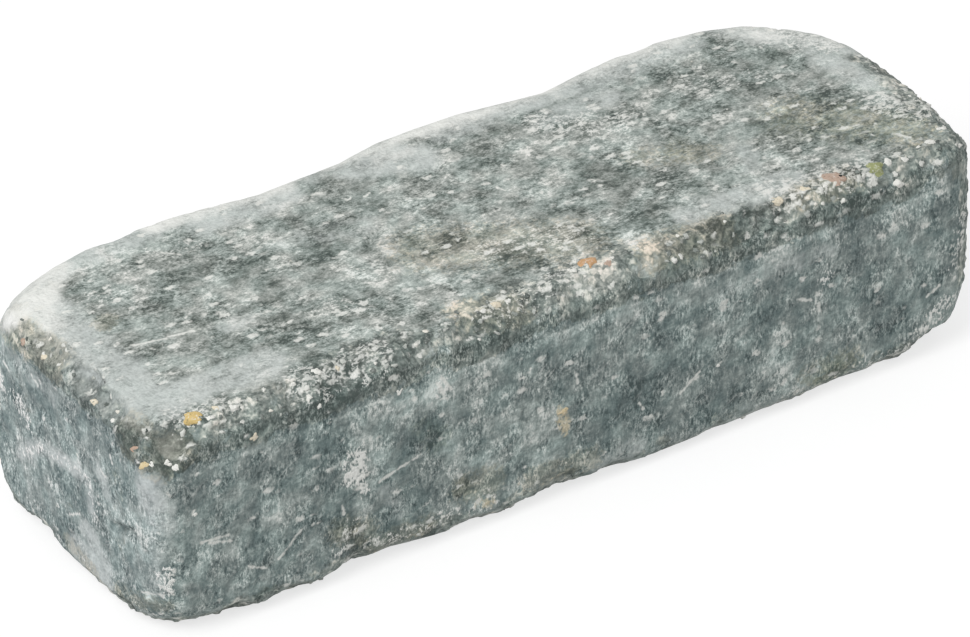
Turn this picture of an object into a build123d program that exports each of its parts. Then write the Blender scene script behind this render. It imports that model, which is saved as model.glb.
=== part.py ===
from build123d import *
from math import exp, sqrt
import os

# Small-format tumbled concrete paver, lying on its bed with the walked-on face up.
# +X runs along the length, -Y is the long side that is seen, +Z is up.
# The origin is at the middle of the bed. All sizes are in millimetres.

# Size as cast
length = 200
width = 70
thickness = 50

# Rounding of the four upright corners by the drum, seen in plan
near_left_round = 8
far_left_round = 13
far_right_round = 36
near_right_round = 12

# Rounding of the short arrises at the two ends
left_top_round = 6
left_bed_round = 7.5
right_top_round = 8
right_bed_round = 8

# Wear of the four long arrises, as the radius they are worn to away from any bite
near_top_wear = 5.0
far_top_wear = 4.5
far_bed_wear = 5.5
near_bed_wear = 6.0

# Places along a side are measured inward from its left or near end, or, where they are
# negative, from its right or far end.

# Bites in each long arris: place, reach to each side, extra wear
near_top_bites = [(2, 8, 5.0), (40, 10, 3.0), (82, 9, 3.0), (-94, 9, 3.4), (-63, 11, 3.2), (-28, 8, 1.6)]
far_top_bites = [(3, 15, 10.0), (68, 14, 4.6), (84, 6, 2.6), (-66, 12, 5.2), (-28, 12, 1.0), (-6, 7, 3.0)]
far_bed_bites = [(4, 12, 4.0), (38, 9, 2.4), (76, 10, 1.8), (-78, 9, 2.8), (-34, 10, 2.0), (-2, 14, 4.0)]
near_bed_bites = [(1, 15, 8.0), (53, 11, 4.0), (96, 8, 3.4), (-56, 9, 1.2), (-34, 8, 2.4), (-2, 9, 10.0)]

# Chips knocked out of the long arrises: place, ball radius, depth
near_top_chips = [
    (5, 13, 1.5), (20, 8, 1.2), (34, 9, 1.4), (46, 17, 0.8), (62, 8, 1.3), (76, 10, 1.2), (89, 7, 1.3),
    (-96, 16, 0.9), (-83, 9, 1.4), (-72, 7, 1.1), (-61, 20, 0.9), (-49, 9, 1.7), (-38, 7, 1.2), (-26, 16, 0.9),
    (-13, 8, 1.4),
]
far_top_chips = [(32, 20, 0.9), (-42, 18, 0.8)]
far_bed_chips = [(20, 22, 1.2), (58, 18, 1.0), (-54, 22, 1.3)]
near_bed_chips = [
    (18, 8, 1.2), (32, 18, 1.0), (47, 8, 1.3), (74, 20, 1.1), (-92, 9, 1.3), (-66, 16, 0.6), (-24, 9, 1.3),
    (-9, 20, 1.2),
]

# Chips knocked out of the short arrises: place, ball radius, depth
left_top_chips = [(19, 14, 1.1), (29, 7, 1.5), (-27, 18, 0.8)]
left_bed_chips = [(-24, 20, 1.2)]
right_top_chips = [(10, 16, 1.2)]
right_bed_chips = [(17, 20, 1.4)]

# The worn skin stands this far outside the cast faces, which cut it flat
skin_stand = 0.25
skin_crown = 0.35
end_overrun = 0.5
end_spread = 1.0

# Sections of the worn skin: their places inward from each end, and their pitch between
end_places = [-end_overrun, 1.2, 3.5, 7, 12, 18, 26]
section_pitch = 10

# Part of an arris radius that is lost at its middle, measured along each face
arc_loss = 1 - sqrt(0.5)

# Largest arris radius, as a part of the narrower way across a section
largest_arris = 0.45


def corner_drop(inward, radius):
    """How far a rounded corner falls back at a distance inward from the end face."""
    spread = radius + end_spread
    along = max(radius - inward, 0) / spread
    return spread * (1 - sqrt(1 - along * along))


def from_middle(place, side):
    """A place measured inward from either end of a side, as measured from the side's middle."""
    return side / 2 + place if place < 0 else place - side / 2


def arris_wear(x, wear, bites):
    """Radius of a long arris at place x, with its bites eased in and out."""
    for place, reach, depth in bites:
        off = (x - from_middle(place, length)) / reach
        wear += depth * exp(-off * off)
    return wear


def fall_back(x, at_left, at_right):
    """Fall back of one side at place x from the rounding at both of its ends."""
    return corner_drop(length / 2 + x, at_left) + corner_drop(length / 2 - x, at_right)


def section_arrises(x):
    """The four arrises at place x, each as its sharp corner, the way inward, and its wear."""
    near = -width / 2 - skin_stand + fall_back(x, near_left_round, near_right_round)
    far = width / 2 + skin_stand - fall_back(x, far_left_round, far_right_round)
    bed = -skin_stand + fall_back(x, left_bed_round, right_bed_round)
    top = thickness + skin_stand - fall_back(x, left_top_round, right_top_round)
    room = largest_arris * min(far - near, top - bed)
    return [
        (near, top, 1, -1, min(arris_wear(x, near_top_wear, near_top_bites), room)),
        (far, top, -1, -1, min(arris_wear(x, far_top_wear, far_top_bites), room)),
        (far, bed, -1, 1, min(arris_wear(x, far_bed_wear, far_bed_bites), room)),
        (near, bed, 1, 1, min(arris_wear(x, near_bed_wear, near_bed_bites), room)),
    ]


def arris_middle(arris):
    """Middle of a worn arris, where the drum has taken the most."""
    y, z, inward_y, inward_z, wear = arris
    return y + inward_y * wear * arc_loss, z + inward_z * wear * arc_loss


def arris_arc(arris):
    """Start, middle and end of a worn arris, from its upright face to its level one."""
    y, z, inward_y, inward_z, wear = arris
    return (y, z + inward_z * wear), arris_middle(arris), (y + inward_y * wear, z)


def skin_section(x):
    """One closed section of the worn skin: four worn arrises with crowned faces between."""
    near_top, far_top, far_bed, near_bed = (arris_arc(arris) for arris in section_arrises(x))
    turns = [near_top, far_top[::-1], far_bed, near_bed[::-1]]
    crowns = [(0, skin_crown), (skin_crown, 0), (0, -skin_crown), (-skin_crown, 0)]
    for turn, following, crown in zip(turns, turns[1:] + turns[:1], crowns):
        start, end = turn[2], following[0]
        middle = ((start[0] + end[0]) / 2 + crown[0], (start[1] + end[1]) / 2 + crown[1])
        ThreePointArc(*turn)
        ThreePointArc(start, middle, end)


def skin_places():
    """Places of the sections along the length, close together at the rounded ends."""
    inner = length / 2 - end_places[-1]
    spans = max(round(2 * inner / section_pitch), 2)
    left = [-length / 2 + place for place in end_places[:-1]]
    middle = [-inner + 2 * inner * index / spans for index in range(spans + 1)]
    return left + middle + [-x for x in reversed(left)]


def long_chips():
    """Ball centres of the chips in the long arrises, with their radii."""
    for index, chips in enumerate((near_top_chips, far_top_chips, far_bed_chips, near_bed_chips)):
        for place, radius, depth in chips:
            x = from_middle(place, length)
            arris = section_arrises(x)[index]
            y, z = arris_middle(arris)
            stand = (radius - depth) * sqrt(0.5)
            yield (x, y - arris[2] * stand, z - arris[3] * stand), radius


def short_chips():
    """Ball centres of the chips in the short arrises, with their radii."""
    ends = [
        (left_top_chips, -1, 1, left_top_round),
        (left_bed_chips, -1, -1, left_bed_round),
        (right_top_chips, 1, 1, right_top_round),
        (right_bed_chips, 1, -1, right_bed_round),
    ]
    for chips, end, level, rounding in ends:
        for place, radius, depth in chips:
            stand = (radius - depth) * sqrt(0.5) - rounding * arc_loss
            height = thickness / 2 + level * (thickness / 2 + stand)
            yield (end * (length / 2 + stand), from_middle(place, width), height), radius


with BuildPart() as paver:
    # Worn skin, ruled along the length from one closed section to the next
    for place in skin_places():
        with BuildSketch(Plane.YZ.offset(place)):
            with BuildLine():
                skin_section(place)
            make_face()
    loft(ruled=True)
    # The six cast faces cut the skin flat, so the bed and the walked-on face are true planes
    Box(length, width, thickness, align=(Align.CENTER, Align.CENTER, Align.MIN), mode=Mode.INTERSECT)
    # Chips that the drum knocked out of the arrises
    for centre, radius in [*long_chips(), *short_chips()]:
        with Locations(centre):
            Sphere(radius, mode=Mode.SUBTRACT)

paver.part.label = "paver"

os.makedirs("parts", exist_ok=True)
export_step(paver.part, "parts/paver.step")
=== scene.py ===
import math
from types import SimpleNamespace

import bmesh
import bpy
import numpy as np
from mathutils import Matrix, Vector, noise
from mathutils.bvhtree import BVHTree


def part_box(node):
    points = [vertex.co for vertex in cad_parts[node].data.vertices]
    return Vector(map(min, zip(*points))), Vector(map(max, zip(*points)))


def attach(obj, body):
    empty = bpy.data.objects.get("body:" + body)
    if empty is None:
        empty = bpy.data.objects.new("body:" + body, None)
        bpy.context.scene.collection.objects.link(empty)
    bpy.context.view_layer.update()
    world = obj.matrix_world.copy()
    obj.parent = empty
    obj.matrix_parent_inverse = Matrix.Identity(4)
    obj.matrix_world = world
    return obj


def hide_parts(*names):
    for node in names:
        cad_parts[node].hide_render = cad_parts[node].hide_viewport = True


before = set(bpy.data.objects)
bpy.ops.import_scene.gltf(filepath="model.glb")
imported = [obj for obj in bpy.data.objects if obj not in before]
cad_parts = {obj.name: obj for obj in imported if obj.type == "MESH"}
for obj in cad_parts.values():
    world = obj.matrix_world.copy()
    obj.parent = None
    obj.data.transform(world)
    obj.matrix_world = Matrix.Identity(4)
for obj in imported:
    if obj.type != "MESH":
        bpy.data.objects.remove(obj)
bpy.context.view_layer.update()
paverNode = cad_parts["paver"]
boxLow, boxHigh = (Vector(corner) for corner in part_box("paver"))
mm = 0.001

# how far apart in the noise the patterns of two seeds lie
seedStep = (17.3, 9.1, 5.7)


class Feed:
    # an output socket that can be used in sums
    def __init__(self, bench, socket):
        self.bench = bench
        self.socket = socket

    def __add__(self, other):
        return self.bench.maths("ADD", self, other)

    def __sub__(self, other):
        return self.bench.maths("SUBTRACT", self, other)

    def __rsub__(self, other):
        return self.bench.maths("SUBTRACT", other, self)

    def __mul__(self, other):
        return self.bench.maths("MULTIPLY", self, other)

    def __truediv__(self, other):
        return self.bench.maths("DIVIDE", self, other)

    def __pow__(self, other):
        return self.bench.maths("POWER", self, other)

    __radd__ = __add__
    __rmul__ = __mul__


class Bench:
    # builds the nodes of one tree, for a material or for geometry
    def __init__(self, tree):
        self.tree = tree
        tree.nodes.clear()

    def node(self, kind, settings=None, inputs=None, out=0):
        made = self.tree.nodes.new(kind)
        for name, value in (settings or {}).items():
            if name == "stops":
                self.setStops(made.color_ramp, value)
            else:
                setattr(made, name, value)
        for name, value in (inputs or {}).items():
            self.plug(made.inputs[name], value)
        return Feed(self, made.outputs[out]) if len(made.outputs) else made

    def plug(self, socket, value):
        if isinstance(value, Feed):
            self.tree.links.new(value.socket, socket)
        elif isinstance(value, (list, tuple)) and len(value) == 3 and socket.type == "RGBA":
            socket.default_value = (*value, 1.0)
        else:
            socket.default_value = value

    def setStops(self, ramp, stops):
        while len(ramp.elements) > 1:
            ramp.elements.remove(ramp.elements[-1])
        for index, (place, shade) in enumerate(stops):
            stop = ramp.elements[0] if index == 0 else ramp.elements.new(place)
            stop.position = place
            stop.color = (*srgb(shade), 1.0)

    def maths(self, operation, first, second=0.0):
        return self.node("ShaderNodeMath", {"operation": operation}, {0: first, 1: second})

    def larger(self, first, second):
        return self.maths("MAXIMUM", first, second)

    def smaller(self, first, second):
        return self.maths("MINIMUM", first, second)

    def absolute(self, value):
        return self.maths("ABSOLUTE", value)

    def clamp(self, value):
        return self.node("ShaderNodeClamp", None, {0: value})

    def vector(self, operation, first, second=(0.0, 0.0, 0.0), out=0):
        return self.node("ShaderNodeVectorMath", {"operation": operation}, {0: first, 1: second}, out)

    def times(self, vector, factor):
        return self.node("ShaderNodeVectorMath", {"operation": "SCALE"}, {0: vector, 3: factor})

    def inMillimetres(self, vector):
        return self.vector("MULTIPLY", vector, (1 / mm, 1 / mm, 1 / mm))

    def parts(self, vector):
        split = self.node("ShaderNodeSeparateXYZ", None, {0: vector})
        return [Feed(self, socket) for socket in split.socket.node.outputs]

    def join(self, x, y, z):
        return self.node("ShaderNodeCombineXYZ", None, {0: x, 1: y, 2: z})

    def scaled(self, place, size, stretch=(1, 1, 1), seed=0.0):
        # the same place, counted in blotches that are size wide
        if isinstance(size, Feed):
            widths = self.join(*(size * part for part in stretch))
        else:
            widths = tuple(size * part for part in stretch)
        apart = tuple(seed * step for step in seedStep)
        return self.vector("ADD", self.vector("DIVIDE", place, widths), apart)

    def mottle(self, place, size, seed, stretch=(1, 1, 1), detail=1.0):
        # soft noise about 0
        texture = {"Vector": self.scaled(place, size, stretch, seed), "Scale": 1.0, "Detail": detail}
        return self.node("ShaderNodeTexNoise", None, {**texture, "Roughness": 1.0}) - 0.5

    def wobble(self, place, size, reach, seed):
        # pushes a place about, so that what is drawn there has ragged edges
        texture = {"Vector": self.scaled(place, size, (1, 1, 1), seed), "Scale": 1.0, "Detail": 1.0}
        drift = self.node("ShaderNodeTexNoise", None, texture, out=1)
        push = self.vector("SUBTRACT", drift, (0.5, 0.5, 0.5))
        return self.vector("ADD", place, self.vector("MULTIPLY", push, (reach, reach, reach)))

    def cells(self, place, size, seed, stretch=(1, 1, 1)):
        # how far from the middle of a cell, and three numbers picked for the cell
        texture = {"Vector": self.scaled(place, size, stretch, seed), "Scale": 1.0}
        far = self.node("ShaderNodeTexVoronoi", None, texture)
        return far, self.parts(Feed(self, far.socket.node.outputs["Color"]))

    def ease(self, value, low, high, start=0.0, end=1.0):
        # start up to low, end from high on, and a smooth step between
        inputs = {"Value": value, "From Min": low, "From Max": high, "To Min": start, "To Max": end}
        return self.node("ShaderNodeMapRange", {"interpolation_type": "SMOOTHSTEP"}, inputs)

    def mix(self, factor, first, second, mode="MIX"):
        settings = {"data_type": "RGBA", "blend_type": mode}
        return self.node("ShaderNodeMix", settings, {0: factor, 6: first, 7: second}, out=2)

    def ramp(self, value, stops):
        return self.node("ShaderNodeValToRGB", {"stops": stops}, {0: value})


def srgb(shade):
    # a colour as it reads on screen, 0 to 255, as Blender wants it
    def straight(part):
        part = part / 255
        return part / 12.92 if part <= 0.04045 else ((part + 0.055) / 1.055) ** 2.4
    return tuple(straight(part) for part in shade)


def startMaterial(name):
    # an empty material, its bench, and the place on the object in millimetres
    material = bpy.data.materials.new(name)
    material.use_nodes = True
    bench = Bench(material.node_tree)
    return material, bench, bench.inMillimetres(bench.node("ShaderNodeTexCoord", None, None, out="Object"))


def finishMaterial(bench, colour, roughness, height, strength, distance):
    bump = {"Height": height, "Strength": strength, "Distance": distance}
    normal = bench.node("ShaderNodeBump", None, bump)
    inputs = {"Base Color": colour, "Roughness": roughness, "Normal": normal}
    surface = bench.node("ShaderNodeBsdfPrincipled", None, inputs)
    bench.node("ShaderNodeOutputMaterial", None, {"Surface": surface})


def addObject(name, mesh):
    thing = bpy.data.objects.new(name, mesh)
    bpy.context.scene.collection.objects.link(thing)
    return thing


# Camera: a long lens, at the photograph's angle
cameraSetup = {
    "turn": math.radians(-32.64),
    "rise": math.radians(33.92),
    "roll": math.radians(-0.82),
    "distance": 2.0,
    "lens": 365.4,
    "sensor": 36,
    "clipEnd": 20,
    "lookBelow": 1.79 * mm,
    "lookLeft": 0.28 * mm,
}


def towardCamera(s):
    turn, rise = s["turn"], s["rise"]
    return Vector((math.sin(turn) * math.cos(rise), -math.cos(turn) * math.cos(rise), math.sin(rise)))


def makeCamera(s):
    turn, back = s["turn"], towardCamera(s)
    flatRight = Vector((math.cos(turn), math.sin(turn), 0))
    flatUp = back.cross(flatRight)
    right = flatRight * math.cos(s["roll"]) + flatUp * math.sin(s["roll"])
    up = back.cross(right)
    middle = (boxLow + boxHigh) / 2
    target = middle - up * s["lookBelow"] - right * s["lookLeft"]
    data = bpy.data.cameras.new("photoCamera")
    data.lens = s["lens"]
    data.sensor_width = s["sensor"]
    data.clip_end = s["clipEnd"]
    camera = addObject("photoCamera", data)
    turned = [[right[i], up[i], back[i], (target + back * s["distance"])[i]] for i in range(3)]
    camera.matrix_world = Matrix(turned + [[0, 0, 0, 1]])
    bpy.context.scene.camera = camera


makeCamera(cameraSetup)

# Studio: a white room, one big soft lamp up on the left
studio = {
    "skyLight": 0.57,
    "keyPower": 12.5,
    "keySize": 0.9,
    "keyDistance": 1.6,
    "keyFrom": (-0.61, -0.23, 0.76),
    "floorSize": 6.0,
    "floorBounce": 0.6,
    "floorShade": 0.38,
    "floorGlow": 0.70,
}


def seenDirectly(bench):
    # 1 for what the camera sees, straight or in a reflection, 0 for light that bounces
    rays = bench.node("ShaderNodeLightPath").socket.node.outputs
    direct = ("Is Camera Ray", "Is Glossy Ray", "Is Transmission Ray")
    return bench.clamp(sum(Feed(bench, rays[name]) for name in direct))


def makeRoom(s):
    world = bpy.data.worlds.new("whiteRoom")
    bpy.context.scene.world = world
    world.use_nodes = True
    bench = Bench(world.node_tree)
    strength = seenDirectly(bench) * (1 - s["skyLight"]) + s["skyLight"]
    sky = bench.node("ShaderNodeBackground", None, {"Color": (1.0, 1.0, 1.0), "Strength": strength})
    bench.node("ShaderNodeOutputWorld", None, {"Surface": sky})
    bpy.context.scene.view_settings.view_transform = "Standard"


def makeLamp(s):
    data = bpy.data.lights.new("softLamp", "AREA")
    data.shape = "DISK"
    data.size = s["keySize"]
    data.energy = s["keyPower"]
    lamp = addObject("softLamp", data)
    direction = Vector(s["keyFrom"]).normalized()
    lamp.location = direction * s["keyDistance"]
    lamp.rotation_euler = direction.to_track_quat("Z", "Y").to_euler()


def makeFloor(s):
    half = s["floorSize"] / 2
    mesh = bpy.data.meshes.new("floor")
    corners = [(-half, -half, 0), (half, -half, 0), (half, half, 0), (-half, half, 0)]
    mesh.from_pydata(corners, [], [(0, 1, 2, 3)])
    floor = addObject("floor", mesh)
    material = bpy.data.materials.new("paleFloor")
    material.use_nodes = True
    bench = Bench(material.node_tree)
    bounce = bench.node("ShaderNodeBsdfDiffuse", None, {"Color": (s["floorBounce"],) * 3})
    shade = bench.node("ShaderNodeBsdfDiffuse", None, {"Color": (s["floorShade"],) * 3})
    glow = bench.node("ShaderNodeEmission", None, {"Color": (1.0, 1.0, 1.0), "Strength": s["floorGlow"]})
    shown = bench.node("ShaderNodeAddShader", None, {0: shade, 1: glow})
    both = bench.node("ShaderNodeMixShader", None, {0: seenDirectly(bench), 1: bounce, 2: shown})
    bench.node("ShaderNodeOutputMaterial", None, {"Surface": both})
    mesh.materials.append(material)


makeRoom(studio)
makeLamp(studio)
makeFloor(studio)
print("camera and studio ready")

# Places seen on the block: on each face, where a mark starts and ends, in millimetres across
# and along the face, its reach and its strength
marks = {
    "dust": {
        "top": [
            ((-93, 20), (-91, -24), 5.5, 1.0), ((-94, -22), (-66, -23), 5, 0.9),
            ((-92, 29), (-60, 31), 4, 0.8), ((-50, 27), (-32, 27), 5, 0.9), ((-12, 28), (-2, 24), 6, 1.0),
            ((8, 29), (68, 29), 5, 0.9), ((28, 21), (44, 21), 4, 0.7), ((32, -25), (58, -25), 3.5, 0.8),
            ((88, 10), (91, -4), 4, 0.7), ((60, -28), (40, -28), 2, 0.6), ((52, -19), (56, -12), 3, 0.6),
            ((-66, -7), (-62, -8), 3, 0.6), ((-40, 12), (-22, 8), 4, 0.5), ((76, 32), (97, 9), 5, 0.8),
        ],
        "near": [
            ((32, 36), (62, 36), 2.5, 0.5), ((-47, 19), (-43, 12), 2, 0.5), ((4, 5), (14, 6), 3, 0.6),
            ((-88, 3), (88, 3), 4, 0.4),
        ],
        "left": [
            ((22, 40), (4, 40), 3, 0.5), ((-3, 7), (-14, 7), 4, 0.8), ((-8, 14), (-14, 10), 3, 0.8),
            ((-30, 38), (-34, 30), 4, 0.7), ((18, 18), (8, 25), 2.2, 0.8), ((8, 25), (-6, 27), 2.2, 0.8),
            ((-9, 27), (-10, 20), 2.0, 0.6), ((-13, 32), (-16, 28), 2.5, 0.6),
        ],
    },
    "chalk": {
        "top": [
            ((-94, 24), (-86, 32), 6, 1.4), ((-94, 12), (-93, 22), 3, 0.8), ((-58, 33), (-30, 31), 4, 0.9),
            ((-16, 33), (20, 32), 4, 0.9), ((20, 32), (70, 33), 4, 0.8), ((-8, 27), (-2, 26), 3, 0.5),
            ((80, 27), (93, 14), 4, 0.6),
        ],
        "left": [
            ((-6, 7), (-13, 7), 3, 0.5),
        ],
    },
    "white": {
        "top": [
            ((-46, -12), (-40, -15), 3, 0.6), ((26, 20), (40, 12), 5, 0.7), ((-8, -14), (8, -18), 5, 0.6),
            ((88, -12), (94, -20), 4, 0.8), ((84, 22), (92, 12), 4, 0.7), ((52, -29), (72, -30), 4, 0.8),
            ((-64, -31), (-46, -31), 4, 0.7), ((-90, -29), (-78, -30), 3, 0.7),
            ((-20, -31), (4, -29), 3, 0.6), ((-84, 16), (-78, 16), 3, 0.5), ((-62, 24), (-56, 20), 3, 0.5),
            ((60, 14), (72, 10), 4, 0.5),
        ],
        "near": [
            ((-53, 29), (-54, 25), 2.8, 0.95), ((-52, 22), (-52, 20), 1.5, 0.9),
            ((-33, 38), (-32.5, 39), 2.0, 0.8), ((85, 8), (90, 12), 3, 0.7), ((-50, 6), (-20, 7), 2.5, 0.5),
            ((-58, 8), (-54, 14), 2.2, 0.6), ((60, 30), (58, 28), 1.6, 0.6), ((93, 20), (95, 30), 3, 0.6),
            ((66, 3), (84, 3), 3, 0.5),
        ],
        "left": [
            ((17, 19), (9, 24), 1.5, 0.7), ((5, 25), (-4, 27), 1.4, 0.6), ((-9, 27), (-11, 19), 1.5, 0.6),
            ((-34, 18), (-34, 13), 1.6, 0.9), ((18, 31), (15, 28), 2.5, 0.7), ((26, 34), (24, 30), 2.0, 0.7),
        ],
    },
    # dark marks: painted shade in hollows, cracks and under the top arris, along with darker concrete
    "dark": {
        "top": [
            ((-97, -33), (-93, -31), 4, 1.2), ((-52, -30), (-36, -31), 4, 0.7),
            ((28, -33), (44, -33), 4, 0.7), ((-84, 7), (-82, 6), 1.6, 0.9), ((-28, 1), (-22, 5), 1.2, 1.0),
            ((-70, -15), (-54, -17), 6, 0.6), ((12, -20), (28, -22), 5, 0.6), ((-78, 18), (-50, 22), 6, 0.5),
            ((48, 6), (72, 8), 8, 0.6), ((-85, -7), (-80, -7), 2.5, 0.6), ((60, 22), (80, 20), 6, 0.5),
            ((8, 18), (18, 16), 3, 0.6), ((-98, -5), (-97, -9), 2.0, 1.0), ((-98, 12), (-97.5, 8), 1.6, 0.8),
            ((-76, 8), (-70, 6), 4, 0.4),
        ],
        "near": [
            ((-94, 44), (94, 44), 2.6, 0.4), ((-98, 38), (-98, 12), 3, 0.4), ((-100, 45), (-95, 43), 4, 1.0),
            ((-20, 28), (30, 25), 12, 0.5), ((-90, 27), (-60, 26), 4, 0.4), ((-36, 28), (-34, 20), 3, 0.5),
            ((20, 10), (60, 9), 4, 0.6), ((42, 44), (52, 45), 4, 0.8), ((12, 44), (24, 42), 3, 0.6),
            ((56, 45), (72, 43), 3, 0.7), ((-60, 45), (-50, 44), 3, 0.7), ((82, 45), (92, 44), 3, 0.7),
            ((-78, 38), (-76, 32), 1.5, 0.5), ((-92, 44), (-80, 44), 3, 0.5),
        ],
        "left": [
            ((-25, 45), (-36, 44), 5, 1.3), ((-18, 21), (-26, 24), 1.2, 1.4), ((-30, 48), (-34, 46), 4, 1.0),
            ((-26, 45), (-22, 44), 2.5, 0.7), ((-5, 47), (-9, 46), 2.0, 1.0), ((12, 18), (2, 18), 6, 0.5),
            ((-24, 12), (-32, 9), 3, 0.6), ((16, 35), (8, 32), 5, 0.4), ((2, 42), (-4, 38), 3, 0.4),
        ],
    },
    "brown": {
        "top": [
            ((72, -6), (88, -24), 7, 0.45), ((-18, -6), (8, -20), 8, 0.6), ((36, -2), (48, -8), 4, 0.5),
            ((-86, 7), (-84, 8), 2.2, 0.8), ((-24, -29), (-14, -32), 4, 0.7), ((20, -31), (36, -32), 4, 0.7),
            ((56, -31), (68, -31), 3, 0.8),
        ],
        "near": [
            ((-57, 13), (-52, 10), 3.5, 0.9), ((-28, 12), (-22, 11), 3.5, 0.8), ((-48, 6), (-38, 6), 3, 0.8),
            ((-12, 8), (2, 7), 3, 0.7), ((56, 7), (66, 8), 3, 0.6), ((-98, 46), (-94, 46), 4, 0.9),
        ],
        "left": [
            ((26, 46), (4, 47), 3.5, 0.9), ((-24, 46), (-34, 44), 4, 0.9), ((-20, 6), (-32, 9), 2.5, 0.6),
            ((0, 7), (-10, 5), 2, 0.6),
        ],
    },
    "ochre": {
        "near": [
            ((-5, 22), (-4, 17), 1.3, 0.9), ((-25, 7), (-22, 6), 1.2, 0.7),
        ],
    },
    "olive": {
        "top": [
            ((70, -8), (86, -22), 8, 0.5), ((44, -6), (46, -2), 3, 0.5),
        ],
        "near": [
            ((60, 5), (66, 6), 3, 0.7), ((-38, 30), (-34, 26), 3, 0.5),
        ],
    },
    "grit": {
        "top": [
            ((-97, -32), (-92, -31), 4, 1.3), ((-98, -35), (-81, -35), 6.5, 1.0),
            ((-81, -35), (-42, -35), 8.5, 1.0), ((-42, -35), (-24, -35), 6, 1.0),
            ((-24, -35), (39, -35), 9, 1.0), ((39, -35), (95, -35), 6, 1.0), ((97, -24), (97, 6), 5, 0.9),
        ],
        "near": [
            ((-94, 46.5), (94, 46), 5, 1.0), ((-88, 3), (88, 3), 4.0, 0.7), ((-98, 46), (-94, 44), 4, 1.0),
            ((-57, 13), (-52, 10), 3, 0.8), ((-28, 12), (-22, 11), 3, 0.7),
        ],
        "left": [
            ((34, 43), (20, 47), 4, 1.0), ((26, 46), (-20, 48), 3.6, 1.0), ((20, 4), (-22, 4), 3.0, 0.6),
            ((-26, 46), (-34, 44), 5, 1.0),
        ],
    },
    "smooth": {
        "top": [
            ((-90, 35), (76, 35), 7, 1.0), ((76, 35), (98, 12), 5, 0.8), ((-66, -24), (-92, -24), 4, 0.6),
        ],
        "near": [
            ((-100, 8), (-100, 32), 6, 1.0),
        ],
        "left": [
            ((-35, 12), (-35, 30), 5, 1.0),
        ],
    },
    "hollow": {
        "top": [
            ((-95, -32), (-94, -32), 2.5, 0.8), ((-97, -5), (-96.5, -8), 2.2, 0.9),
            ((-97.5, 14), (-97, 10), 2.0, 0.6), ((-88, -30), (-84, -33), 3, 0.5),
            ((-28, 1), (-22, 5), 1.0, 0.6),
        ],
        "near": [
            ((42, 47), (50, 47), 4, 0.7), ((14, 47), (20, 46), 3, 0.5), ((-60, 46), (-54, 46), 3, 0.5),
            ((-55, 6), (-50, 5), 3, 0.5),
        ],
        "left": [
            ((-30, 47), (-33, 45), 4, 1.0), ((-18, 21), (-26, 24), 1.0, 0.8),
        ],
    },
}

# Thin pale scratches and ticks: where each starts and ends
scratches = {
    "top": [
        ((-85, -2.6), (-78, -4.2)), ((-77, -4), (-72, -5)), ((-62.5, 22.5), (-60, 19.8)),
        ((-79, 18), (-77.5, 18.4)), ((-18, 17), (-16.5, 17.5)), ((-71, 0), (-69, 1)),
        ((-55, -13), (-54, -12.8)), ((6, 5), (6.8, 3)), ((84, -24), (86, -27)), ((90, -9), (92, -14)),
    ],
    "near": [
        ((-34, 39.5), (-32.4, 36)), ((-32.6, 40), (-31, 37)), ((-90, 23), (-83.5, 22.4)),
        ((-88, 22.2), (-83, 20.8)), ((-72, 12), (-66.5, 17)), ((-48, 21.5), (-38.5, 24.2)),
        ((-79, 13), (-75, 11)), ((85, 15.6), (88, 17.2)), ((-91.4, 30.4), (-91, 31.2)),
        ((-12.4, 33.8), (-12, 34.6)), ((-1.2, 29), (-0.8, 27)), ((33, 18.5), (34, 19)),
        ((24, 15), (28.5, 18.5)), ((14, 16.5), (15, 14.6)), ((-57, 19), (-56.6, 17)), ((53, 27), (56, 25.6)),
        ((58, 24), (58.2, 22)), ((-99, 16), (-96.5, 12.8)), ((-98, 14.4), (-96, 12.4)), ((-96, 8), (-95, 6)),
    ],
    "left": [
        ((23, 37.4), (21, 36.4)), ((-14, 32.4), (-15.6, 31.6)), ((-18, 38), (-18.6, 36.6)),
        ((-1, 14), (-5, 16.5)), ((-28, 11), (-33, 12.5)), ((12, 40), (10, 38.6)),
    ],
}

# a mark fades fast where the surface lies deeper than this under its face, and it is gone
# at this many times its reach
markDepth = {"chalk": 8.0, "smooth": 8.0, "hollow": 5.0}
commonDepth = 3.5
depthFade = 2.0
markEnd = 1.5

# for each face: the axes across it, along it and through it, and its level in millimetres
faces = {
    "top": (0, 1, 2, boxHigh.z / mm),
    "near": (0, 2, 1, boxLow.y / mm),
    "left": (1, 2, 0, boxLow.x / mm),
}


def onFace(face, at):
    # a place on a face, in millimetres
    across, along, through, level = faces[face]
    place = Vector()
    place[across], place[along], place[through] = *at, level
    return place


def markStrength(points, onFaces, depth):
    # how strongly each point lies in any of the marks: in full within half the reach of one
    total = np.zeros(len(points))
    for face, entries in onFaces.items():
        across, along, through, level = faces[face]
        flat = points[:, [across, along]]
        deep = np.maximum(np.abs(points[:, through] - level) - depth, 0) * depthFade
        for start, end, reach, strength in entries:
            start, run = np.array(start), np.subtract(end, start)
            share = np.clip((flat - start) @ run / (run @ run), 0, 1)
            away = np.linalg.norm(flat - start - share[:, None] * run, axis=1)
            total = np.maximum(total, strength * np.clip(markEnd - np.hypot(away, deep) / reach, 0, 1))
    return total


def paintMarks(mesh):
    points = np.empty(len(mesh.vertices) * 3)
    mesh.vertices.foreach_get("co", points)
    points = points.reshape(-1, 3) / mm
    for name, onFaces in marks.items():
        attribute = mesh.attributes.new(name, "FLOAT", "POINT")
        attribute.data.foreach_set("value", markStrength(points, onFaces, markDepth.get(name, commonDepth)))


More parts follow.
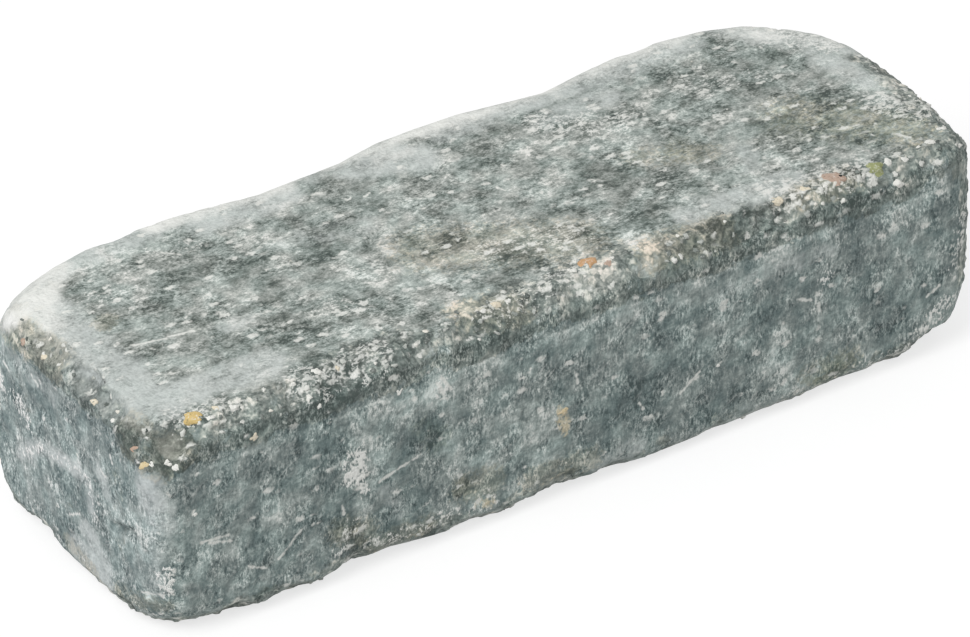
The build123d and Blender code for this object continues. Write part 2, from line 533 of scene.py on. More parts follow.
# Wear and blotches, in millimetres where they are sizes
wear = {
    "wearStart": 0.985, "wearEnd": 0.90, "wornShare": 0.72, "smoothing": 1.2,
    "roughSize": 3.2, "roughPatch": 11.2, "roughRagged": 1.5, "roughFrom": 0.3, "roughTo": 0.8,
    "rimDust": 0.55, "rimWidth": 8.0, "rimFull": 3.2, "rimRagged": 18.0,
    "dustSize": 5.0, "dustRagged": 1.1, "dustFrom": 0.2, "dustTo": 0.9, "dustFill": 0.25,
    "chalkUpright": -0.1, "chalkLevel": 0.6, "chalkSideLoss": 0.2, "chalkFrom": 0.15, "chalkTo": 0.95,
    "facingTop": 41.4, "facingBottom": 39.8, "bedGritTop": 9.0, "bedGritBottom": 5.0,
    "endLie": 0.6, "longLie": 0.3, "cleanShare": 0.92,
    "vastSize": 34.0, "vast": 0.7,
    "broadSize": 11.0, "broad": 0.85,
    "middleSize": 4.0, "middle": 1.05,
    "busySize": 6.0, "busySpread": 0.13,
    "hueSize": 6.5, "hueSpread": 0.14,
}
# how the blotches of middle size are drawn out along the top and up the sides
topStretch = (1.4, 1, 1)
sideStretch = (0.85, 0.85, 1.4)

# Relief of the block, in millimetres
relief = {
    "faceLumps": 0.25, "faceLumpSize": 7.0,
    "facePits": 0.5, "facePitSize": 4.0, "pitFieldSize": 16.0, "pitFieldFrom": -0.05, "pitFieldTo": 0.12,
    "pitFloor": 0.15, "pitWidth": 0.42,
    "wornLumps": 1.0, "wornLumpSize": 4.5, "wornLevel": 0.2,
    "grainLumps": 0.4, "grainSize": 2.4, "grainWidth": 0.62, "grainLevel": 0.4,
    "wornPits": 0.35, "wornPitSize": 5.85, "wornPitFrom": 0.06, "wornPitTo": 0.22,
    "hollows": 1.2, "hollowRagged": 1.2, "hollowFrom": 0.3, "hollowTo": 0.9,
    "streaks": 0.12,
    "facingDepth": 9.5, "facingGroove": 0.18, "grooveWidth": 1.4, "wanderSize": 42.0, "wander": 2.0,
}
streakStretch = (0.35, 0.35, 3.0)
voxel = 0.8
weldReach = 0.001

# the upward part of the surface's normal: upright below the first, level above the second
uprightLie = 0.45
levelLie = 0.85

# the wander of the line where the coarser facing mix begins: size, reach and seed of its waves
facingWaves = [(30.0, 3.0, 44), (4.0, 2.5, 45)]


def meshOf(thing, name):
    graph = bpy.context.evaluated_depsgraph_get()
    mesh = bpy.data.meshes.new_from_object(thing.evaluated_get(graph))
    mesh.name = name
    return mesh


def startTree(name, sizes, corners=()):
    # a geometry tree with a named input for each size
    tree = bpy.data.node_groups.new(name, "GeometryNodeTree")
    tree.interface.new_socket("Geometry", in_out="INPUT", socket_type="NodeSocketGeometry")
    for size in sizes:
        tree.interface.new_socket(size, in_out="INPUT", socket_type="NodeSocketFloat")
    for corner in corners:
        tree.interface.new_socket(corner, in_out="INPUT", socket_type="NodeSocketVector")
    tree.interface.new_socket("Geometry", in_out="OUTPUT", socket_type="NodeSocketGeometry")
    bench = Bench(tree)
    outputs = bench.node("NodeGroupInput").socket.node.outputs
    given = {name: Feed(bench, outputs[name]) for name in ("Geometry", *sizes, *corners)}
    return tree, bench, given


def setInputs(modifier, values):
    for item in modifier.node_group.interface.items_tree:
        if item.item_type == "SOCKET" and item.in_out == "INPUT" and item.name in values:
            modifier[item.identifier] = values[item.name]


def stored(bench, name, kind="FLOAT"):
    return bench.node("GeometryNodeInputNamedAttribute", {"data_type": kind}, {"Name": name})


def store(bench, shape, name, value, kind="FLOAT"):
    settings = {"data_type": kind, "domain": "POINT"}
    inputs = {"Geometry": shape, "Name": name, "Value": value}
    return bench.node("GeometryNodeStoreNamedAttribute", settings, inputs)


def onSides(bench, upward):
    # 1 on the upright faces and 0 on the level ones
    return bench.ease(upward, levelLie, uprightLie)


def facingHeight(bench, place):
    # height on a side, with the wander of the facing mix's line
    height = bench.parts(place)[2]
    for size, reach, seed in facingWaves:
        height = height + bench.mottle(place, size, seed) * reach
    return height


def wearTree(s):
    # stores where the block is rough, dusty and chalky, and the blotches of its tone
    tree, bench, size = startTree("wearMasks", s, ("highCorner",))
    place = bench.inMillimetres(bench.node("GeometryNodeInputPosition"))
    normal = bench.vector("ABSOLUTE", bench.node("GeometryNodeInputNormal"))
    blur = {"Value": normal, "Iterations": 3}
    lie = bench.node("GeometryNodeBlurAttribute", {"data_type": "FLOAT_VECTOR"}, blur)
    shape = store(bench, size["Geometry"], "lie", lie, "FLOAT_VECTOR")
    nx, ny, nz = bench.parts(stored(bench, "lie", "FLOAT_VECTOR"))
    side = onSides(bench, nz)
    flattest = bench.larger(bench.larger(nx, ny), nz)
    worn = bench.ease(flattest, size["wearStart"], size["wearEnd"])
    rough = bench.larger(worn * size["wornShare"], stored(bench, "grit"))
    rough = rough - stored(bench, "smooth") * size["smoothing"]
    rough = rough + bench.mottle(place, size["roughSize"], 1, detail=2.0) * size["roughRagged"]
    rough = rough + bench.mottle(place, size["roughPatch"], 2, detail=0.0) * size["roughRagged"]

    # dust along the far side and the left end, and where it is marked
    x, y, z = bench.parts(place)
    cornerX, cornerY = bench.parts(bench.inMillimetres(size["highCorner"]))[:2]
    edge = bench.smaller(cornerX + x, cornerY - y)
    edge = edge + bench.mottle(place, size["rimWidth"], 3) * size["rimRagged"]
    rim = bench.ease(edge, size["rimWidth"], size["rimFull"]) * size["rimDust"] * (1 - side)
    patchy = bench.mottle(place, size["dustSize"], 4, detail=2.0) * size["dustRagged"]
    dust = bench.ease(stored(bench, "dust") + patchy, size["dustFrom"], size["dustTo"])
    shape = store(bench, shape, "dusty", bench.larger(rim, dust))
    chalk = stored(bench, "chalk") * bench.ease(nz, size["chalkUpright"], size["chalkLevel"])
    chalk = chalk + patchy - side * size["chalkSideLoss"]
    shape = store(bench, shape, "chalky", bench.ease(chalk, size["chalkFrom"], size["chalkTo"]))

    # the long sides are clean of grit between the bed arris and the facing mix
    clean = bench.ease(facingHeight(bench, place), size["facingTop"], size["facingBottom"])
    clean = clean * bench.ease(z, size["bedGritBottom"], size["bedGritTop"]) * side
    clean = clean * bench.ease(nx, size["endLie"], size["longLie"]) * (1 - stored(bench, "brown"))
    rough = bench.ease(rough - dust * size["dustFill"], size["roughFrom"], size["roughTo"])
    shape = store(bench, shape, "rough", rough * (1 - clean * size["cleanShare"]))

    tone = bench.mottle(place, size["vastSize"], 5) * size["vast"]
    tone = tone + bench.mottle(place, size["broadSize"], 6) * size["broad"]
    topTone = bench.mottle(place, size["middleSize"], 7, topStretch)
    sideTone = bench.mottle(place, size["middleSize"], 8, sideStretch)
    middle = topTone * (1 - side) + sideTone * side
    shape = store(bench, shape, "tone", tone + middle * size["middle"])
    for name, seed in (("busy", 9), ("hue", 10)):
        spread = size[name + "Spread"]
        share = bench.ease(bench.mottle(place, size[name + "Size"], seed), 0 - spread, spread)
        shape = store(bench, shape, name, share)
    bench.node("NodeGroupOutput", None, {0: shape})
    return tree


def reliefTree(s):
    # sinks the surface: lumps and pits on the cast faces, grains and hollows where it is worn
    tree, bench, size = startTree("wornRelief", s, ("lowCorner", "highCorner"))
    metres = bench.node("GeometryNodeInputPosition")
    place = bench.inMillimetres(metres)
    side = onSides(bench, bench.parts(stored(bench, "lie", "FLOAT_VECTOR"))[2])
    rough = stored(bench, "rough")

    def holes(width, seed, wide):
        return bench.ease(bench.cells(place, width, seed)[0], size["pitFloor"], wide, 1.0, 0.0)

    def field(width, seed, low, high):
        return bench.ease(bench.mottle(place, width, seed), low, high)

    faceSink = (bench.mottle(place, size["faceLumpSize"], 11, detail=3.0) + 0.5) * size["faceLumps"]
    pitted = field(size["pitFieldSize"], 12, size["pitFieldFrom"], size["pitFieldTo"]) * size["facePits"]
    faceSink = faceSink + holes(size["facePitSize"], 11, size["pitWidth"]) * pitted
    coarse = bench.mottle(place, size["wornLumpSize"], 14, detail=2.0) * size["wornLumps"]
    grains = (size["grainLevel"] - holes(size["grainSize"], 15, size["grainWidth"])) * size["grainLumps"]
    deep = field(size["wornPitSize"], 17, size["wornPitFrom"], size["wornPitTo"]) * size["wornPits"]
    wornSink = grains - coarse + deep + size["wornLevel"]
    hollow = stored(bench, "hollow") + bench.mottle(place, size["grainSize"], 19) * size["hollowRagged"]
    hollow = bench.ease(hollow, size["hollowFrom"], size["hollowTo"]) * size["hollows"]
    comb = bench.mottle(place, size["wornLumpSize"], 16, streakStretch) * size["streaks"] * side
    height = bench.parts(metres)[2] - bench.parts(size["highCorner"])[2]
    wander = bench.mottle(place, size["wanderSize"], 18) * size["wander"]
    line = bench.absolute(height / mm + size["facingDepth"] + wander)
    groove = bench.ease(line, 0.0, size["grooveWidth"], 1.0, 0.0) * size["facingGroove"] * side

    sink = faceSink * (1 - rough) + wornSink * rough + hollow + comb + groove
    target = bench.vector("ADD", metres, bench.times(bench.node("GeometryNodeInputNormal"), sink * -mm))
    target = bench.vector("MINIMUM", target, size["highCorner"])
    target = bench.vector("MAXIMUM", target, size["lowCorner"])
    shape = bench.node("GeometryNodeSetPosition", None, {"Geometry": size["Geometry"], "Position": target})
    bench.node("NodeGroupOutput", None, {0: shape})
    return tree


def weldedCopy(source):
    mesh = source.data.copy()
    welded = bmesh.new()
    welded.from_mesh(mesh)
    bmesh.ops.remove_doubles(welded, verts=welded.verts, dist=weldReach * mm)
    welded.to_mesh(mesh)
    welded.free()
    mesh.materials.clear()
    return mesh


def makeBlock():
    plain = addObject("plain_block", weldedCopy(paverNode))
    even = plain.modifiers.new("evenMesh", "REMESH")
    even.mode = "VOXEL"
    even.voxel_size = voxel * mm
    even.use_smooth_shade = True
    mesh = meshOf(plain, "even_block")
    bpy.data.objects.remove(plain)
    paintMarks(mesh)
    block = addObject("even_block", mesh)
    corners = {"lowCorner": boxLow, "highCorner": boxHigh}
    for name, tree, sizes in (("wear", wearTree(wear), wear), ("relief", reliefTree(relief), relief)):
        modifier = block.modifiers.new(name, "NODES")
        modifier.node_group = tree
        setInputs(modifier, {**sizes, **corners})
    shaped = meshOf(block, "worn_block")
    bpy.data.objects.remove(block)
    print("block shaped:", len(shaped.polygons), "faces")
    return addObject("worn_block", shaped)


block = makeBlock()

# Concrete: colours as they read on screen, tints that multiply, sizes in millimetres, and
# ranges as the values where something is missing and where it is in full
concrete = {
    "skin": [(0.0, (70, 80, 76)), (0.25, (116, 125, 120)), (0.5, (154, 162, 158)),
             (0.75, (190, 197, 192)), (1.0, (240, 242, 238))],
    "sideSkin": [(0.0, (72, 86, 86)), (0.25, (107, 122, 122)), (0.5, (135, 148, 146)),
                 (0.75, (174, 187, 184)), (1.0, (228, 235, 231))],
    "grit": [(0.0, (74, 83, 79)), (0.25, (111, 120, 116)), (0.5, (146, 153, 147)),
             (0.7, (184, 188, 180)), (0.86, (220, 219, 209)), (1.0, (248, 244, 235))],
    "dust": (210, 216, 213), "chalk": (244, 245, 240), "ochre": (228, 212, 176),
    "white": (238, 239, 233), "bright": (246, 246, 241),

    "brown": (0.96, 0.90, 0.83), "olive": (0.93, 0.94, 0.89),
    "teal": (0.97, 1.0, 0.99), "lilac": (1.03, 0.993, 0.98),
    "gritTint": (0.93, 0.975, 0.975), "endTint": (1.06, 1.05, 1.08),

    "raggedSize": 1.3, "topRagged": 0.15, "sideRagged": 0.3, "wobbleSize": 0.9, "wobble": 1.5,
    "fineSize": 1.0, "topFine": 1.4, "sideFine": 1.5,
    "topStretch": (1.5, 1, 1), "sideStretch": (0.7, 0.7, 1.5),
    "topQuiet": 0.65, "topBusy": 0.6, "sideQuiet": 0.35, "sideBusy": 1.05,

    # the facing: a pale line painted as highlight along its ledge, and a darker band above it, partly
    # painted shade
    "facingLine": 40.4, "facingWidth": 0.8, "ledgeHighlight": 0.16, "facingBusy": 0.6, "facingHue": 1.1,
    "facingMix": (40.0, 42.0), "facingShadeDark": 0.08, "bandBottom": (40.4, 41.6), "bandTop": (48.2, 46.0),
    # the dark marks on the skin: painted shade in hollows and cracks, with darker concrete
    "shadeStainRagged": 2.0, "shadeStainEdge": (0.2, 0.9), "skinShadeStain": 0.2,
    "flakeSize": 2.4, "flakeStretch": (1.7, 1, 0.9), "flakeFine": 0.1, "flakes": 0.11,
    "paleFlakes": (0.02, 0.11), "darkFlakes": (-0.03, -0.12),
    "scuffWidth": 0.7, "scuffLength": 6.0, "scuffSlope": (0.8, 0.6), "scuffFine": 0.1,
    "scuffEdge": (0.1, 0.24), "scuff": 0.35,

    "gritRagged": 1.2, "gritEdge": (0.3, 0.7), "gritShare": 0.85,
    "grainSize": 1.7, "grainPick": 0.55, "grainRagged": 1.3, "grainBlotch": 0.8, "grainFine": 0.4,
    # the grain rims darken as painted shade in the gaps between grains
    "grainRim": (0.4, 0.8), "grainGapShade": 0.2,
    # the grit darkens in the band under the arris and in the dark marks, partly as painted shade
    "bandCalm": 0.45, "bandFine": 0.7, "bandShadeDark": 0.07, "stripDark": 0.04, "shadeStainDark": 0.3,

    "dustShare": 0.72, "dustBusy": 0.2, "dustRagged": 0.6, "dustFine": 0.45,
    "chalkShare": 0.9, "chalkBusy": 0.3, "chalkFine": 0.3, "ochreShare": 0.6,
    "speckSize": 2.1, "speckStretch": (1.8, 1, 1), "speckEdge": (0.42, 0.2), "speckOften": (0.9, 1.2),
    "speckMore": {"busy": 0.6, "white": 0.75, "rough": 0.1}, "speckSideLess": 0.2, "speckBandLess": 0.1,
    "specks": 0.8, "bareTop": 0.5, "bareSide": 0.35,
    "scratchDepth": 0.2, "scratchRagged": 1.2, "scratchFine": 0.5, "scratchEdge": (0.5, 0.05),
    "scratch": 0.8,
    "roughness": 0.92, "bumpFine": 0.5, "bump": 0.7, "bumpHeight": 0.6 * mm,
}
# edges of the marked spots: how ragged, how fine, and the range that they fade over
spotEdges = {
    "brown": (1.5, 0.5, 0.1, 0.7), "olive": (1.5, 0.5, 0.1, 0.7),
    "ochre": (2.0, 1.0, 0.3, 0.9), "white": (1.6, 2.2, 0.6, 1.0),
}
spotHem = 0.3


def kept(bench, name, out=2):
    # a number kept in the block's mesh, or a vector where out is 1
    return bench.node("ShaderNodeAttribute", {"attribute_name": name}, None, out)


def readPlace(bench, place, s):
    # what all the colours are made from
    nx, ny, nz = bench.parts(kept(bench, "lie", out=1))
    side = onSides(bench, nz)
    end = bench.ease(nx, uprightLie, levelLie)
    busy = kept(bench, "busy")
    topFine = bench.mottle(place, s["fineSize"], 4, s["topStretch"], 2.0) * s["topFine"]
    sideFine = bench.mottle(place, s["fineSize"], 6, s["sideStretch"], 2.0) * s["sideFine"]
    fine = topFine * (1 - side) * (s["topQuiet"] + busy * s["topBusy"])
    fine = fine + sideFine * side * (s["sideQuiet"] + busy * s["sideBusy"])
    height = facingHeight(bench, place)
    near = side * (1 - end)
    return SimpleNamespace(
        place=place, side=side, end=end, near=near, busy=busy, fine=fine, height=height,
        ragged=bench.mottle(place, s["raggedSize"], 41),
        wobbly=bench.wobble(place, s["wobbleSize"], s["wobble"], 31),
        band=bench.ease(height, *s["bandBottom"]) * bench.ease(height, *s["bandTop"]) * near,
    )


def castSkin(bench, here, s):
    # slate on the sides, with a faint pale line painted as a highlight along the facing ledge, and above it
    # the coarser facing mix, darkened in part by painted shade
    # the pale line: a painted highlight, where light would catch the ledge
    line = bench.ease(bench.absolute(here.height - s["facingLine"]), s["facingWidth"], 0.0)
    line = line * (here.busy * s["facingBusy"] + kept(bench, "hue") * s["facingHue"])
    # the painted highlight of the line, less a darker band above it, partly its coarser mix and partly
    # painted shade under the arris
    facing = line * s["ledgeHighlight"] - bench.ease(here.height, *s["facingMix"]) * s["facingShadeDark"]
    # painted shade in the hollows and cracks of the dark marks, with darker concrete there
    shadeAndStain = bench.ease(kept(bench, "dark") + here.ragged * s["shadeStainRagged"], *s["shadeStainEdge"])
    tone = kept(bench, "tone") + here.fine + 0.5 - shadeAndStain * s["skinShadeStain"] + facing * here.near
    tone = tone + here.ragged * (s["topRagged"] * (1 - here.side) + s["sideRagged"] * here.side)
    flakes = bench.mottle(here.wobbly, s["flakeSize"], 52, s["flakeStretch"], 2.0)
    flakes = flakes + here.fine * s["flakeFine"]
    flakes = bench.ease(flakes, *s["paleFlakes"]) - bench.ease(flakes, *s["darkFlakes"])
    tone = tone + flakes * s["flakes"]
    return bench.mix(here.side, bench.ramp(tone, s["skin"]), bench.ramp(tone, s["sideSkin"]))


def scuffMask(bench, here, s):
    # scuffs that the drum left slantwise across the sides
    x, y, z = bench.parts(here.place)
    level, rising = s["scuffSlope"]
    slant = bench.join((x - y) * level + z * rising, z * level - (x - y) * rising, 0.0)
    scuffs = bench.mottle(slant, s["scuffWidth"], 51, (s["scuffLength"] / s["scuffWidth"], 1, 1))
    scuffs = bench.ease(scuffs + here.fine * s["scuffFine"], *s["scuffEdge"])
    return scuffs * here.side * here.busy * s["scuff"]


def bareGrit(bench, here, s):
    # grit laid bare on the worn arrises: ragged grains of many tones, with painted shade in the gaps between
    # them
    far, pick = bench.cells(here.wobbly, s["grainSize"], 5)
    tone = (pick[1] - 0.5) * s["grainPick"] + here.ragged * s["grainRagged"]
    tone = tone * (1 - here.band * s["bandCalm"]) + kept(bench, "tone") * s["grainBlotch"] + 0.5
    # the grit in the band below the near arris is darkened, partly as painted shade
    tone = tone + here.fine * (s["grainFine"] + here.band * s["bandFine"]) - here.band * s["bandShadeDark"]
    # the dark marks darken the grit too: painted shade with darker concrete
    tone = tone - (1 - here.side) * s["stripDark"] - kept(bench, "dark") * s["shadeStainDark"]
    # the cell rims are darkened: painted shade in the gaps between grains
    grain = bench.ramp(tone - bench.ease(far, *s["grainRim"]) * s["grainGapShade"], s["grit"])
    return bench.mix(here.side, grain, bench.mix(1.0, grain, s["gritTint"], "MULTIPLY"))


def spots(bench, here, name):
    # the spots of a mark, with ragged edges
    ragged, fine, low, high = spotEdges[name]
    mark = kept(bench, name)
    spot = bench.ease(mark + here.ragged * ragged + here.fine * fine, low, high)
    return spot * bench.ease(mark, 0.0, spotHem)


def speckMask(bench, here, s):
    # small specks, one in a few cells
    far, pick = bench.cells(here.wobbly, s["speckSize"], 2, s["speckStretch"])
    share = pick[0] + sum(kept(bench, name) * more for name, more in s["speckMore"].items())
    share = share - here.side * s["speckSideLess"] - here.band * s["speckBandLess"]
    return bench.ease(far, *s["speckEdge"]) * bench.ease(share, *s["speckOften"])


def scratchMask(bench, here, s):
    # from the distance to the nearest scratch, with the depth under its face counted less
    nearest = None
    for face, lines in scratches.items():
        squeeze = Vector((1, 1, 1))
        squeeze[faces[face][2]] = s["scratchDepth"]
        squeezed = bench.vector("MULTIPLY", here.place, tuple(squeeze))
        for start, finish in lines:
            first = onFace(face, start) * squeeze
            run = onFace(face, finish) * squeeze - first
            away = bench.vector("SUBTRACT", squeezed, tuple(first))
            share = bench.clamp(bench.vector("DOT_PRODUCT", away, tuple(run / run.length_squared), out=1))
            distance = bench.vector("DISTANCE", away, bench.times(tuple(run), share), out=1)
            nearest = bench.smaller(distance, nearest) if nearest else distance
    nearest = nearest + here.ragged * s["scratchRagged"] + here.fine * s["scratchFine"]
    return bench.ease(nearest, *s["scratchEdge"])


def concreteMaterial(s):
    material, bench, place = startMaterial("tumbledConcrete")
    here = readPlace(bench, place, s)
    busy, fine, ragged = here.busy, here.fine, here.ragged

    colour = castSkin(bench, here, s)
    colour = bench.mix(scuffMask(bench, here, s), colour, srgb(s["dust"]))
    rough = bench.ease(kept(bench, "rough") + ragged * s["gritRagged"], *s["gritEdge"])
    colour = bench.mix(rough * s["gritShare"], colour, bareGrit(bench, here, s))
    hue = bench.mix(kept(bench, "hue"), s["teal"], s["lilac"])
    colour = bench.mix(1.0, colour, hue, "MULTIPLY")

    # pale cement dust, the stained places, and chalk, brightest along the far rim
    dust = kept(bench, "dusty") * (s["dustShare"] - busy * s["dustBusy"] + ragged * s["dustRagged"])
    colour = bench.mix(dust + fine * s["dustFine"], colour, srgb(s["dust"]))
    for name in ("brown", "olive"):
        colour = bench.mix(spots(bench, here, name), colour, s[name], "MULTIPLY")
    chalk = kept(bench, "chalky") * (s["chalkShare"] - busy * s["chalkBusy"]) + fine * s["chalkFine"]
    colour = bench.mix(chalk, colour, srgb(s["chalk"]))
    colour = bench.mix(spots(bench, here, "ochre") * s["ochreShare"], colour, srgb(s["ochre"]))

    # white specks, places knocked bare, and scratches
    colour = bench.mix(speckMask(bench, here, s) * s["specks"], colour, srgb(s["white"]))
    bare = spots(bench, here, "white") * (s["bareTop"] + here.side * s["bareSide"])
    colour = bench.mix(bare, colour, srgb(s["bright"]))
    colour = bench.mix(scratchMask(bench, here, s) * s["scratch"], colour, srgb(s["white"]))
    colour = bench.mix(here.side * here.end, colour, bench.mix(1.0, colour, s["endTint"], "MULTIPLY"))
    finishMaterial(bench, colour, s["roughness"], fine * s["bumpFine"] + ragged, s["bump"], s["bumpHeight"])
    return material


block.data.materials.append(concreteMaterial(concrete))
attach(block, "root")
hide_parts("paver")
print("concrete finished")

# Small stones laid bare in the concrete; sizes in millimetres
stones = {
    "apart": 1.5, "often": 0.3,
    "topNone": 45.5, "topFull": 47.0, "bedNone": 12.0, "bedShare": 0.35,
    "patchSize": 8.0, "patchNone": -0.1, "patchFull": 0.1, "patchLeast": 0.2,
    "narrowest": 0.6, "widest": 1.7, "flatness": 0.55,
    "stand": -0.18,
    "tintFrom": 0.0, "tintTo": 0.66,
    "lumpSize": 0.5, "lumps": 2.2,
}

# Tints by their place: dark, grey, pale, white, cream, ochre, orange, pink-brown and olive
stoneLook = {
    "tints": [(0.0, (84, 92, 88)), (0.2, (140, 147, 142)), (0.4, (190, 194, 188)), (0.6, (238, 238, 232)),
              (0.74, (232, 222, 200)), (0.82, (216, 190, 128)), (0.88, (206, 164, 122)),
              (0.94, (190, 166, 150)), (1.0, (160, 166, 118))],
    "fleckSize": 0.8, "paleFlecks": (0.02, 0.3), "darkFlecks": (-0.05, -0.3), "darkShare": 0.7,
    "pale": (238, 239, 233), "dark": (66, 74, 70),
    "roughness": 0.85, "bump": 0.6, "bumpHeight": 0.4 * mm,
}

# Stones that can be told apart: place on the face, width, height, how far it stands out, tint
namedStones = {
    "top": [
        ((-88.5, -31.5), 4.6, 2.6, 0.5, 0.82), ((-85.5, -33), 2.0, 1.4, 0.22, 0.6),
        ((-83, -30.5), 1.8, 1.4, 0.17, 0.74), ((-80, -32.5), 1.7, 1.2, 0.17, 0.6),
        ((-60, -31), 2.2, 1.5, 0.19, 0.6), ((-56, -32.5), 1.8, 1.4, 0.17, 0.74),
        ((-66, -32), 1.4, 1.2, 0.17, 0.6), ((-18, -31), 3.0, 2.2, 0.25, 0.74),
        ((-21, -31.5), 1.5, 1.2, 0.17, 0.6), ((-15, -31.5), 1.4, 1.2, 0.17, 0.6),
        ((6, -29), 4.2, 3.8, 0.5, 0.88), ((2, -29.5), 1.5, 1.4, 0.19, 0.6), ((4, -27), 1.2, 1.0, 0.17, 0.6),
        ((0, -30.5), 1.4, 1.2, 0.17, 0.4), ((9, -31.5), 2.5, 2.0, 0.17, 0.94),
        ((50, -31), 2.4, 1.8, 0.22, 0.74), ((53.5, -32), 2.2, 1.5, 0.22, 0.6),
        ((57, -31), 2.4, 2.0, 0.22, 0.74), ((64, -31), 5.0, 3.4, 0.4, 0.94),
        ((61, -32.5), 1.5, 1.2, 0.17, 0.6), ((73, -33), 4.5, 3.2, 0.4, 1.0),
        ((76.5, -32), 2.2, 1.7, 0.22, 0.6), ((80, -33), 1.9, 1.4, 0.19, 0.6),
        ((88, -31), 2.2, 1.5, 0.19, 0.6), ((93, -28), 2.0, 1.4, 0.19, 0.6),
    ],
    "near": [
        ((77, 46.5), 2.9, 1.9, 0.19, 0.6), ((-43.5, 41.5), 1.9, 1.9, 0.14, 0.6),
        ((-77, 43.5), 1.8, 2.0, 0.17, 0.74), ((-97, 45), 1.9, 1.5, 0.19, 0.6),
        ((-95, 43), 1.4, 1.7, 0.17, 0.6), ((33, 18.5), 1.2, 1.0, 0.08, 0.6),
        ((-91, 30.5), 1.1, 1.1, 0.08, 0.6), ((-5, 22), 3.2, 2.2, 0.11, 0.78),
        ((-62, 45), 1.7, 1.4, 0.17, 0.6),
    ],
    "left": [
        ((-31, 43), 2.0, 1.8, 0.2, 0.79), ((-28, 45.5), 1.8, 1.5, 0.2, 0.93),
        ((-34, 45), 1.5, 1.4, 0.22, 0.6), ((-13, 48), 1.8, 1.4, 0.15, 0.74), ((6, 48), 2.0, 1.4, 0.17, 0.74),
        ((14, 47), 2.2, 1.6, 0.15, 0.94), ((-20, 47.5), 1.4, 1.0, 0.17, 0.6),
    ],
}
# a named stone's thickness, as a part of its narrower way across, and its lumps: how high for
# its size, how many across it, and how far apart in the noise those of two stones lie
stoneThickness = 0.8
stoneLumps = 0.5
lumpsAcross = 3
lumpStep = 7.1
# how far out from its face, in metres, the look for a stone's place starts
sightStart = 0.02


def drawn(bench, low, high, seed, kind="FLOAT"):
    # a number, or three, drawn for each point
    first, out = {"FLOAT": (2, 1), "FLOAT_VECTOR": (0, 0)}[kind]
    inputs = {first: low, first + 1: high, 8: seed}
    return bench.node("FunctionNodeRandomValue", {"data_type": kind}, inputs, out)


def grainTree(sizes, material):
    # small stones where the block is rough, in patches, near the top and more thinly at the bed
    tree, bench, size = startTree("bareGrains", sizes)
    place = bench.inMillimetres(bench.node("GeometryNodeInputPosition"))
    height = bench.parts(place)[2]
    share = bench.ease(height, size["topNone"], size["topFull"])
    share = bench.larger(share, bench.ease(height, size["bedNone"], 0.0, 0.0, size["bedShare"]))
    patches = bench.mottle(place, size["patchSize"], 63)
    patches = bench.ease(patches, size["patchNone"], size["patchFull"], size["patchLeast"], 1.0)
    scatter = {
        "Mesh": size["Geometry"], "Distance Min": size["apart"] * mm,
        "Density Max": size["often"] / mm ** 2,
        "Density Factor": stored(bench, "rough") ** 2.0 * share * patches, "Seed": 3,
    }
    points = bench.node("GeometryNodeDistributePointsOnFaces", {"distribute_method": "POISSON"}, scatter)
    turn = Feed(bench, points.socket.node.outputs["Rotation"])
    points = store(bench, points, "tint", drawn(bench, size["tintFrom"], size["tintTo"], 1))

    ball = bench.node("GeometryNodeMeshUVSphere", None, {"Segments": 8, "Rings": 6, "Radius": 0.5 * mm})
    push = bench.times(place, bench.mottle(place, size["lumpSize"], 61) * size["lumps"] * mm)
    grain = bench.node("GeometryNodeSetPosition", None, {"Geometry": ball, "Offset": push})
    widths = size["narrowest"], size["widest"]
    low, high = (bench.join(width, width, width * size["flatness"]) for width in widths)
    scale = drawn(bench, low, high, 2, "FLOAT_VECTOR")
    inputs = {"Points": points, "Instance": grain, "Rotation": turn, "Scale": scale}
    cloud = bench.node("GeometryNodeInstanceOnPoints", None, inputs)
    spin = bench.join(0.0, 0.0, drawn(bench, 0.0, math.tau, 3))
    cloud = bench.node("GeometryNodeRotateInstances", None, {"Instances": cloud, "Rotation": spin})
    sunk = bench.join(0.0, 0.0, size["stand"] * mm)
    cloud = bench.node("GeometryNodeTranslateInstances", None, {"Instances": cloud, "Translation": sunk})
    solid = bench.node("GeometryNodeRealizeInstances", None, {"Geometry": cloud})
    dressed = bench.node("GeometryNodeSetMaterial", None, {"Geometry": solid, "Material": material})
    bench.node("NodeGroupOutput", None, {0: dressed})
    return tree


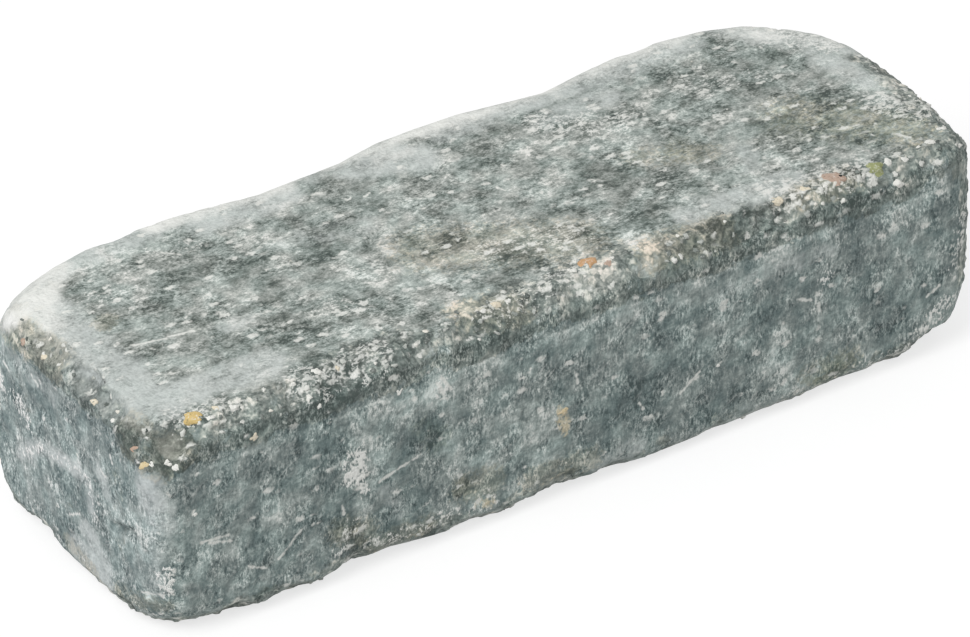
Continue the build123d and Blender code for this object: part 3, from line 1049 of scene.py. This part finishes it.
def addNamedStones(shape, surface):
    # each is set where the camera sees its place on the face
    tint = shape.verts.layers.float["tint"]
    sight = towardCamera(cameraSetup)
    listed = [(face, *stone) for face, group in namedStones.items() for stone in group]
    for index, (face, at, width, height, stand, shade) in enumerate(listed):
        eye = onFace(face, at) * mm + sight * sightStart
        middle, normal = surface.ray_cast(eye, -sight)[:2]
        turn = (normal + sight).normalized().to_track_quat("Z", "Y")
        thick = min(width, height) * stoneThickness
        apart = Vector((index * lumpStep, 0, 0))
        for vertex in bmesh.ops.create_icosphere(shape, subdivisions=3, radius=0.5)["verts"]:
            lump = 1 + stoneLumps * noise.noise(vertex.co * lumpsAcross + apart)
            local = Vector((vertex.co.x * width, vertex.co.y * height, vertex.co.z * thick)) * lump
            vertex.co = middle + turn @ (local + Vector((0, 0, stand - thick / 2))) * mm
            vertex[tint] = shade


def makeStones(sizes, material):
    carrier = addObject("stone_carrier", block.data.copy())
    modifier = carrier.modifiers.new("grains", "NODES")
    modifier.node_group = grainTree(sizes, material)
    setInputs(modifier, sizes)
    mesh = meshOf(carrier, "exposed_stones")
    bpy.data.objects.remove(carrier)
    graph = bpy.context.evaluated_depsgraph_get()
    shape = bmesh.new()
    shape.from_mesh(mesh)
    addNamedStones(shape, BVHTree.FromObject(block, graph))
    for vertex in shape.verts:
        vertex.co = [min(max(part, low), high) for part, low, high in zip(vertex.co, boxLow, boxHigh)]
    for face in shape.faces:
        face.smooth = True
        face.material_index = 0
    shape.to_mesh(mesh)
    shape.free()
    mesh.materials.clear()
    mesh.materials.append(material)
    print("stones made:", len(mesh.polygons), "faces")
    return addObject("exposed_stones", mesh)


def stoneMaterial(s):
    material, bench, place = startMaterial("bareStone")
    colour = bench.ramp(kept(bench, "tint"), s["tints"])
    fleck = bench.mottle(place, s["fleckSize"], 62, detail=2.0)
    colour = bench.mix(bench.ease(fleck, *s["paleFlecks"]), colour, srgb(s["pale"]))
    colour = bench.mix(bench.ease(fleck, *s["darkFlecks"]) * s["darkShare"], colour, srgb(s["dark"]))
    finishMaterial(bench, colour, s["roughness"], fleck, s["bump"], s["bumpHeight"])
    return material


grit = makeStones(stones, stoneMaterial(stoneLook))
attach(grit, "root")
print("stones finished")
